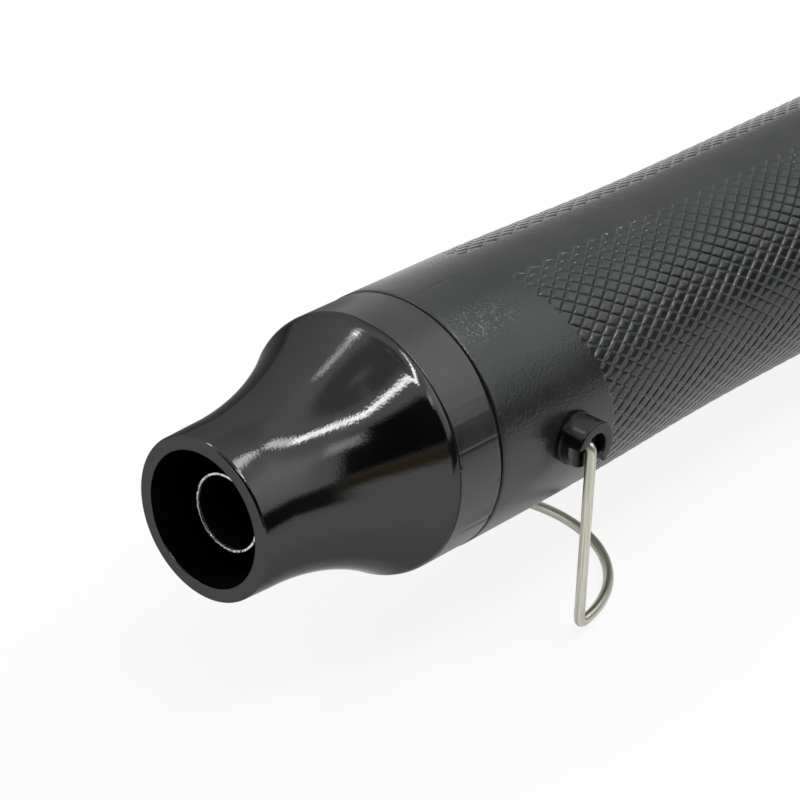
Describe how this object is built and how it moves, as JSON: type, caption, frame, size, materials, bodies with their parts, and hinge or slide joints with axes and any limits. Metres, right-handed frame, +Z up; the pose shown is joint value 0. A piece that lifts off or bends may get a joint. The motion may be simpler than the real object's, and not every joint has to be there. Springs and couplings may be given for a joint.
{
  "type": "hot air tool",
  "caption": "Slim hand-held hot air tool: round black knurled grip, flared nozzle with an inner outlet tube, top rocker switch, slotted tail and a folding wire stand.",
  "frame": {"origin": "middle of the underside of the whole object's box, on the table that the wire foot and the tail edge stand on", "axes": "+X level, from the nozzle to the tail, which dips a little; -Y is the tool's left side, +Z up"},
  "size_m": [0.2372, 0.0522, 0.0598],
  "materials": {
    "nozzle_black": "glossy black stoved enamel on turned metal",
    "collar_black": "semi-gloss black moulding",
    "grip_black": "satin charcoal-black moulding with fine grain and knurled panels",
    "hub_black": "glossy black bush",
    "wire_steel": "warm nickel-plated steel wire",
    "tube_steel": "thin bright steel sheet",
    "motor_steel": "zinc-plated steel",
    "mica": "pressed mica sheet",
    "ceramic": "pale steatite ceramic",
    "nichrome": "oxidised resistance wire",
    "brass": "bare brass strip",
    "copper": "bare copper",
    "bronze": "sintered bronze",
    "dark_plastic": "black moulding",
    "fan_plastic": "glass-filled dark grey moulding",
    "ferrite": "dark sintered iron",
    "board_green": "green circuit board",
    "capacitor_red": "dipped red-brown resin",
    "screw_steel": "black-oxide steel",
    "rubber": "matt black rubber",
    "lead_white": "white woven sleeve over wire",
    "lead_red": "red silicone insulation"
  },
  "bodies": {
    "tool": {"nozzle": "nozzle_black", "nozzle_collar": "collar_black", "outlet_tube": "tube_steel", "heat_shield": "tube_steel", "mica_liner": "mica", "mica_board_upright": "mica", "mica_board_level": "mica", "heating_coil": "nichrome", "thermal_fuse": "tube_steel", "heater_base": "ceramic", "motor_can": "motor_steel", "motor_end_bell": "dark_plastic", "front_bush": "bronze", "rear_bush": "bronze", "magnet_upper": "ferrite", "magnet_lower": "ferrite", "brush_left": "copper", "brush_right": "copper", "motor_tab_left": "brass", "motor_tab_right": "brass", "motor_lead_left": "lead_white", "motor_lead_right": "lead_red", "motor_mount": "dark_plastic", "rectifier_board": "board_green", "diode_1": "dark_plastic", "diode_2": "dark_plastic", "diode_3": "dark_plastic", "diode_4": "dark_plastic", "capacitor": "capacitor_red", "switch_body": "dark_plastic", "switch_tab_front": "brass", "switch_tab_rear": "brass", "heater_lead_live": "lead_red", "heater_lead_neutral": "lead_white", "switch_lead": "lead_red", "rear_cap": "grip_black", "cord_gland": "rubber", "cord_clamp": "dark_plastic", "clamp_screw_upper": "screw_steel", "clamp_screw_lower": "screw_steel", "shell_left": "grip_black", "shell_right": "grip_black", "shell_screw_1": "screw_steel", "shell_screw_2": "screw_steel", "shell_screw_3": "screw_steel", "shell_screw_4": "screw_steel", "stand_hub_left": "hub_black", "stand_hub_right": "hub_black"},
    "stand": {"stand_wire": "wire_steel"},
    "rocker": {"switch_rocker": "collar_black"},
    "rotor": {"fan_impeller": "fan_plastic", "motor_shaft": "motor_steel", "armature": "ferrite", "commutator": "copper"}
  },
  "joints": [
    {"name": "stand_fold", "type": "hinge", "parent": "tool", "child": "stand", "pos_m": [-0.05801, 0, 0.03567], "axis": [0, 1, 0], "range_deg": [-16, 82]},
    {"name": "switch_rock", "type": "hinge", "parent": "tool", "child": "rocker", "pos_m": [0.07108, 0, 0.04327], "axis": [0, -1, 0], "range_deg": [0, 18]},
    {"name": "fan_spin", "type": "hinge", "parent": "tool", "child": "rotor", "pos_m": [-0.01485, 0, 0.0322], "axis": [0.996, 0, -0.0894], "continuous": true}
  ]
}
